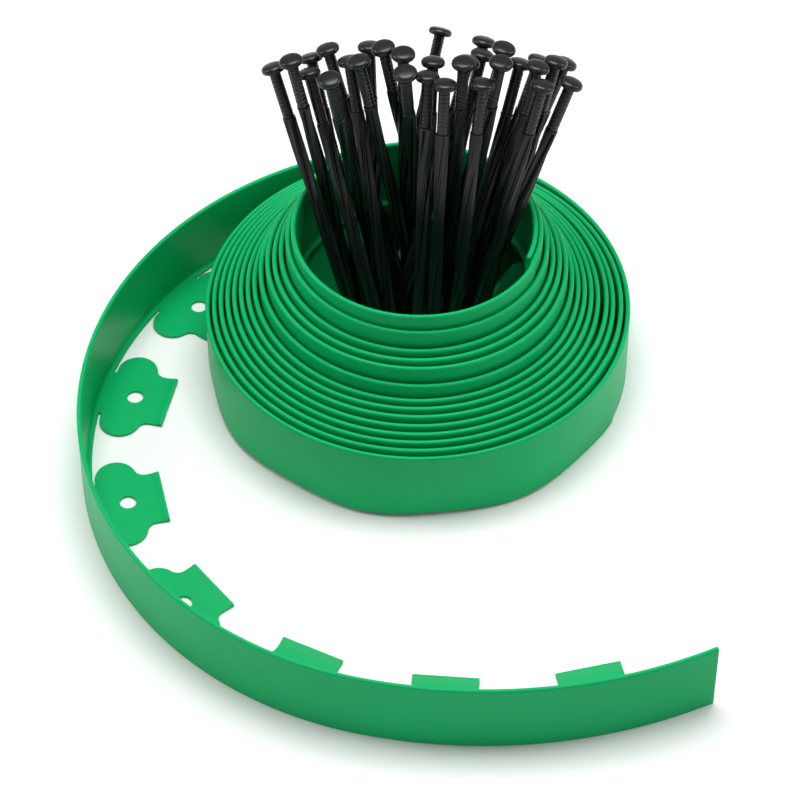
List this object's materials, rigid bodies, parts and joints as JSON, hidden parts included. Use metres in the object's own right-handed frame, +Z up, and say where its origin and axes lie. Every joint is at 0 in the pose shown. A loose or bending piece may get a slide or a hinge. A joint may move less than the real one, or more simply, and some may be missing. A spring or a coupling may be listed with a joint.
{
  "type": "lawn edging roll with ground spikes",
  "caption": "Coiled plastic lawn edging strip with its outer end unrolled, pierced fixing tabs along its foot, and loose ground spikes standing in the middle of the coil.",
  "frame": {"origin": "on the ground under the middle of the roll's bounding box", "axes": "+Z up; +Y from the free end's side towards the coil, the longest way across the roll; +X towards the free end of the strip"},
  "size_m": [0.3353, 0.3984, 0.1997],
  "materials": {
    "edging_green": "satin moulded polyethylene",
    "spike_black": "moulded polypropylene, slightly glossy"
  },
  "bodies": {
    "strip": {"coil_turn_01": "edging_green", "coil_turn_02": "edging_green", "coil_turn_03": "edging_green", "coil_turn_04": "edging_green", "coil_turn_05": "edging_green", "coil_turn_06": "edging_green", "coil_turn_07": "edging_green", "coil_turn_08": "edging_green", "coil_turn_09": "edging_green", "coil_turn_10": "edging_green", "coil_turn_11": "edging_green", "coil_turn_12": "edging_green", "coil_turn_13": "edging_green", "coil_turn_14": "edging_green", "run_tab_01": "edging_green", "run_tab_02": "edging_green", "run_tab_03": "edging_green", "run_tab_04": "edging_green", "run_tab_05": "edging_green", "run_tab_06": "edging_green", "run_tab_07": "edging_green", "run_tab_08": "edging_green", "run_tab_09": "edging_green", "run_tab_10": "edging_green", "run_tab_11": "edging_green", "run_wall": "edging_green"},
    "spike_01": {"spike_01": "spike_black"},
    "spike_02": {"spike_02": "spike_black"},
    "spike_03": {"spike_03": "spike_black"},
    "spike_04": {"spike_04": "spike_black"},
    "spike_05": {"spike_05": "spike_black"},
    "spike_06": {"spike_06": "spike_black"},
    "spike_07": {"spike_07": "spike_black"},
    "spike_08": {"spike_08": "spike_black"},
    "spike_09": {"spike_09": "spike_black"},
    "spike_10": {"spike_10": "spike_black"},
    "spike_11": {"spike_11": "spike_black"},
    "spike_12": {"spike_12": "spike_black"},
    "spike_13": {"spike_13": "spike_black"},
    "spike_14": {"spike_14": "spike_black"},
    "spike_15": {"spike_15": "spike_black"},
    "spike_16": {"spike_16": "spike_black"},
    "spike_17": {"spike_17": "spike_black"},
    "spike_18": {"spike_18": "spike_black"},
    "spike_19": {"spike_19": "spike_black"},
    "spike_20": {"spike_20": "spike_black"},
    "spike_21": {"spike_21": "spike_black"},
    "spike_22": {"spike_22": "spike_black"},
    "spike_23": {"spike_23": "spike_black"},
    "spike_24": {"spike_24": "spike_black"},
    "spike_25": {"spike_25": "spike_black"},
    "spike_26": {"spike_26": "spike_black"},
    "spike_27": {"spike_27": "spike_black"},
    "spike_28": {"spike_28": "spike_black"},
    "spike_29": {"spike_29": "spike_black"},
    "spike_30": {"spike_30": "spike_black"}
  },
  "joints": [
    {"name": "spike_01_lift", "type": "slide", "parent": "strip", "child": "spike_01", "axis": [-0.275, 0.335, 0.9012], "range_m": [0, 0.12]},
    {"name": "spike_02_lift", "type": "slide", "parent": "strip", "child": "spike_02", "axis": [-0.215, 0.17, 0.9617], "range_m": [0, 0.12]},
    {"name": "spike_03_lift", "type": "slide", "parent": "strip", "child": "spike_03", "axis": [-0.25, 0.395, 0.884], "range_m": [0, 0.12]},
    {"name": "spike_04_lift", "type": "slide", "parent": "strip", "child": "spike_04", "axis": [-0.215, 0.44, 0.8719], "range_m": [0, 0.12]},
    {"name": "spike_05_lift", "type": "slide", "parent": "strip", "child": "spike_05", "axis": [-0.265, 0.275, 0.9242], "range_m": [0, 0.12]},
    {"name": "spike_06_lift", "type": "slide", "parent": "strip", "child": "spike_06", "axis": [-0.155, -0.05, 0.9866], "range_m": [0, 0.12]},
    {"name": "spike_07_lift", "type": "slide", "parent": "strip", "child": "spike_07", "axis": [-0.145, 0.345, 0.9273], "range_m": [0, 0.12]},
    {"name": "spike_08_lift", "type": "slide", "parent": "strip", "child": "spike_08", "axis": [-0.2, 0.12, 0.9724], "range_m": [0, 0.12]},
    {"name": "spike_09_lift", "type": "slide", "parent": "strip", "child": "spike_09", "axis": [-0.03, 0.345, 0.9381], "range_m": [0, 0.12]},
    {"name": "spike_10_lift", "type": "slide", "parent": "strip", "child": "spike_10", "axis": [-0.18, 0.075, 0.9808], "range_m": [0, 0.12]},
    {"name": "spike_11_lift", "type": "slide", "parent": "strip", "child": "spike_11", "axis": [-0.015, 0.055, 0.9984], "range_m": [0, 0.12]},
    {"name": "spike_12_lift", "type": "slide", "parent": "strip", "child": "spike_12", "axis": [-0.065, -0.045, 0.9969], "range_m": [0, 0.12]},
    {"name": "spike_13_lift", "type": "slide", "parent": "strip", "child": "spike_13", "axis": [0.03, 0.305, 0.9519], "range_m": [0, 0.12]},
    {"name": "spike_14_lift", "type": "slide", "parent": "strip", "child": "spike_14", "axis": [0.04, 0.335, 0.9414], "range_m": [0, 0.12]},
    {"name": "spike_15_lift", "type": "slide", "parent": "strip", "child": "spike_15", "axis": [0.215, 0.555, 0.8036], "range_m": [0, 0.12]},
    {"name": "spike_16_lift", "type": "slide", "parent": "strip", "child": "spike_16", "axis": [0.035, 0.25, 0.9676], "range_m": [0, 0.12]},
    {"name": "spike_17_lift", "type": "slide", "parent": "strip", "child": "spike_17", "axis": [0.045, 0.105, 0.9935], "range_m": [0, 0.12]},
    {"name": "spike_18_lift", "type": "slide", "parent": "strip", "child": "spike_18", "axis": [0.23, 0.23, 0.9456], "range_m": [0, 0.12]},
    {"name": "spike_19_lift", "type": "slide", "parent": "strip", "child": "spike_19", "axis": [0.095, 0.245, 0.9649], "range_m": [0, 0.12]},
    {"name": "spike_20_lift", "type": "slide", "parent": "strip", "child": "spike_20", "axis": [0.235, 0.355, 0.9048], "range_m": [0, 0.12]},
    {"name": "spike_21_lift", "type": "slide", "parent": "strip", "child": "spike_21", "axis": [0.2, 0.41, 0.8899], "range_m": [0, 0.12]},
    {"name": "spike_22_lift", "type": "slide", "parent": "strip", "child": "spike_22", "axis": [0.155, 0.07, 0.9854], "range_m": [0, 0.12]},
    {"name": "spike_23_lift", "type": "slide", "parent": "strip", "child": "spike_23", "axis": [0.205, 0.135, 0.9694], "range_m": [0, 0.12]},
    {"name": "spike_24_lift", "type": "slide", "parent": "strip", "child": "spike_24", "axis": [0.23, 0.37, 0.9001], "range_m": [0, 0.12]},
    {"name": "spike_25_lift", "type": "slide", "parent": "strip", "child": "spike_25", "axis": [0.23, 0.23, 0.9456], "range_m": [0, 0.12]},
    {"name": "spike_26_lift", "type": "slide", "parent": "strip", "child": "spike_26", "axis": [0.225, 0.235, 0.9456], "range_m": [0, 0.12]},
    {"name": "spike_27_lift", "type": "slide", "parent": "strip", "child": "spike_27", "axis": [0.31, 0.37, 0.8758], "range_m": [0, 0.12]},
    {"name": "spike_28_lift", "type": "slide", "parent": "strip", "child": "spike_28", "axis": [0.245, 0.295, 0.9236], "range_m": [0, 0.12]},
    {"name": "spike_29_lift", "type": "slide", "parent": "strip", "child": "spike_29", "axis": [0.365, 0.31, 0.8779], "range_m": [0, 0.12]},
    {"name": "spike_30_lift", "type": "slide", "parent": "strip", "child": "spike_30", "axis": [0.335, 0.25, 0.9084], "range_m": [0, 0.12]}
  ]
}
